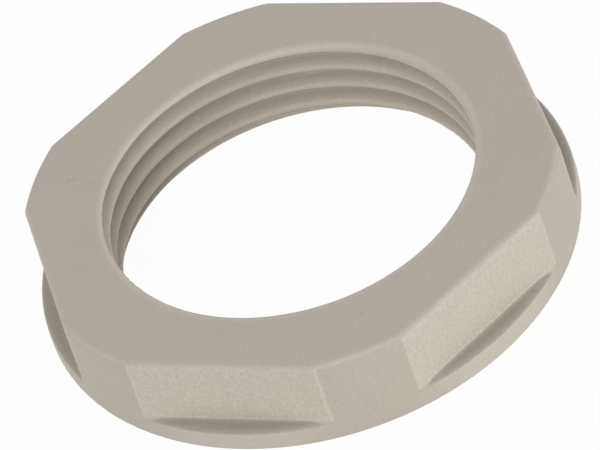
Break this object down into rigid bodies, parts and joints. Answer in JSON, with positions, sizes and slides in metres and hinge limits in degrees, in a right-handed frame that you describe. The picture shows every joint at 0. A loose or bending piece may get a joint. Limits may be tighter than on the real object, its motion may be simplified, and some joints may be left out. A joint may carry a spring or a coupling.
{
  "type": "cable gland locknut",
  "caption": "Flanged hexagonal locknut with an internal thread, which clamps a cable gland to the wall of a box.",
  "frame": {"origin": "centre of the flange's flat bearing face, on the bore axis", "axes": "+Z along the bore axis, from the bearing face towards the hexagon's free face; +X normal to one spanner flat"},
  "size_m": [0.0342, 0.0342, 0.006],
  "materials": {
    "polyamide": "moulded, finely grained, light grey"
  },
  "bodies": {
    "root": {"locknut": "polyamide"}
  },
  "joints": []
}
